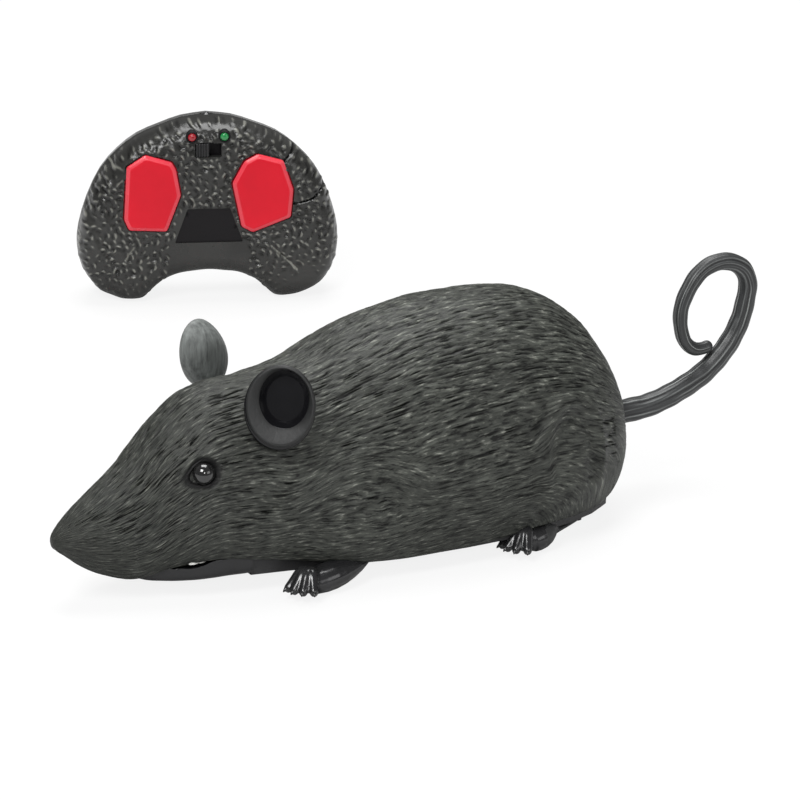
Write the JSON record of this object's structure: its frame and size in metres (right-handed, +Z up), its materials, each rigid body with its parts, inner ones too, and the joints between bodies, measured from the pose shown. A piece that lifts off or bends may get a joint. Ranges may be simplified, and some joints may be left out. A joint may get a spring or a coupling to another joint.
{
  "type": "remote-controlled mouse cat toy",
  "caption": "Dark grey rat on hidden wheels, with moulded fur, glossy ears and paws and a curled tail, driven from a crescent handset with red buttons, a slide switch and lamps.",
  "frame": {"origin": "middle of the footprint of the rat and the handset together, on the surface both stand on", "axes": "+X from the rat's nose to its tail, +Y from the rat's left side to its right, where the handset stands, +Z up"},
  "size_m": [0.267, 0.3102, 0.0821],
  "materials": {
    "fur_plastic": "moulded fur relief",
    "gloss_black": "glossy",
    "jaw_black": "satin",
    "tooth_white": "satin",
    "tail_vinyl": "soft vinyl, grooved",
    "chassis_black": "satin",
    "nylon": "satin",
    "steel": "plain",
    "motor_steel": "satin plated can",
    "contact_metal": "plated",
    "tyre_rubber": "matt",
    "board": "solder mask",
    "cell": "printed sleeve, left plain",
    "button_red": "satin",
    "handset_grey": "pebbled",
    "lamp_red": "tinted clear",
    "lamp_green": "tinted clear",
    "silicone": "matt"
  },
  "bodies": {
    "rat": {"body_shell": "fur_plastic", "chassis_base": "chassis_black", "lower_jaw": "jaw_black", "teeth": "tooth_white", "eye_left": "gloss_black", "eye_right": "gloss_black", "ear_left": "fur_plastic", "ear_right": "fur_plastic", "front_paw_left": "gloss_black", "front_paw_right": "gloss_black", "hind_paw_left": "gloss_black", "hind_paw_right": "gloss_black", "chassis_screw_1": "steel", "chassis_screw_2": "steel", "chassis_screw_3": "steel", "gearbox_plate_inner": "nylon", "gearbox_plate_outer": "nylon", "motor_can": "motor_steel", "gear_pin_1": "steel", "gear_pin_2": "steel", "battery_cell_1": "cell", "battery_cell_2": "cell", "battery_cell_3": "cell", "battery_contact_left": "contact_metal", "battery_contact_right": "contact_metal", "power_switch_case": "contact_metal", "receiver_board": "board"},
    "tail": {"tail": "tail_vinyl"},
    "rear_wheels": {"rear_axle": "steel", "axle_gear": "nylon", "rear_hub_left": "chassis_black", "rear_hub_right": "chassis_black", "rear_tyre_left": "tyre_rubber", "rear_tyre_right": "tyre_rubber"},
    "second_gear": {"compound_gear_2": "nylon"},
    "first_gear": {"compound_gear_1": "nylon"},
    "pinion": {"motor_pinion": "nylon"},
    "caster": {"caster_fork": "chassis_black", "caster_pin": "steel"},
    "caster_roller": {"caster_wheel": "nylon"},
    "power_knob": {"power_switch_knob": "nylon"},
    "belly_door": {"battery_door": "chassis_black", "battery_door_screw": "steel"},
    "handset": {"handset_front_shell": "handset_grey", "handset_back_shell": "handset_grey", "lamp_red": "lamp_red", "lamp_green": "lamp_green", "handset_board": "board", "rubber_pad": "silicone", "infrared_lamp": "gloss_black", "handset_cell_1": "cell", "handset_cell_2": "cell", "handset_contact": "contact_metal", "handset_screw_1": "steel", "handset_screw_2": "steel"},
    "left_button": {"button_left": "button_red"},
    "right_button": {"button_right": "button_red"},
    "slide_knob": {"slide_switch_knob": "chassis_black"},
    "handset_door": {"handset_battery_door": "handset_grey", "handset_door_screw": "steel"}
  },
  "joints": [
    {"name": "axle_spin", "type": "hinge", "parent": "rat", "child": "rear_wheels", "pos_m": [0.02945, -0.108, 0.015], "axis": [0, 1, 0], "continuous": true},
    {"name": "second_gear_spin", "type": "hinge", "parent": "rat", "child": "second_gear", "pos_m": [0.02155, -0.108, 0.01956], "axis": [0, 1, 0], "continuous": true},
    {"name": "first_gear_spin", "type": "hinge", "parent": "rat", "child": "first_gear", "pos_m": [0.01275, -0.108, 0.02192], "axis": [0, 1, 0], "continuous": true},
    {"name": "pinion_spin", "type": "hinge", "parent": "rat", "child": "pinion", "pos_m": [0.00369, -0.108, 0.02081], "axis": [0, 1, 0], "continuous": true},
    {"name": "caster_swivel", "type": "hinge", "parent": "rat", "child": "caster", "pos_m": [-0.05555, -0.108, 0.0052], "axis": [0, 0, 1], "range_deg": [0, 60]},
    {"name": "caster_roll", "type": "hinge", "parent": "caster", "child": "caster_roller", "pos_m": [-0.05255, -0.108, 0.0052], "axis": [0, 1, 0], "continuous": true},
    {"name": "tail_swivel", "type": "hinge", "parent": "rat", "child": "tail", "pos_m": [0.07745, -0.108, 0.028], "axis": [1, 0, 0], "range_deg": [-90, 90]},
    {"name": "power_switch", "type": "slide", "parent": "rat", "child": "power_knob", "axis": [1, 0, 0], "range_m": [0, 0.0025]},
    {"name": "belly_door_off", "type": "slide", "parent": "rat", "child": "belly_door", "axis": [0, 0, -1], "range_m": [0, 0.0048]},
    {"name": "handset_lift", "type": "slide", "parent": "rat", "child": "handset", "axis": [0, 0, 1], "range_m": [0, 0.15]},
    {"name": "left_button_press", "type": "slide", "parent": "handset", "child": "left_button", "axis": [0.4147, 0.91, 0], "range_m": [0, 0.0012], "stiffness_N_per_m": 300},
    {"name": "right_button_press", "type": "slide", "parent": "handset", "child": "right_button", "axis": [0.4147, 0.91, 0], "range_m": [0, 0.0012], "stiffness_N_per_m": 300},
    {"name": "slide_switch", "type": "slide", "parent": "handset", "child": "slide_knob", "axis": [0.91, -0.4147, 0], "range_m": [0, 0.004]},
    {"name": "handset_door_off", "type": "slide", "parent": "handset", "child": "handset_door", "axis": [0.4147, 0.91, 0], "range_m": [0, 0.02]}
  ],
  "couplings": [
    {"joint": "second_gear_spin", "follows": "axle_spin", "ratio": -3},
    {"joint": "first_gear_spin", "follows": "axle_spin", "ratio": 9},
    {"joint": "pinion_spin", "follows": "axle_spin", "ratio": -27}
  ]
}
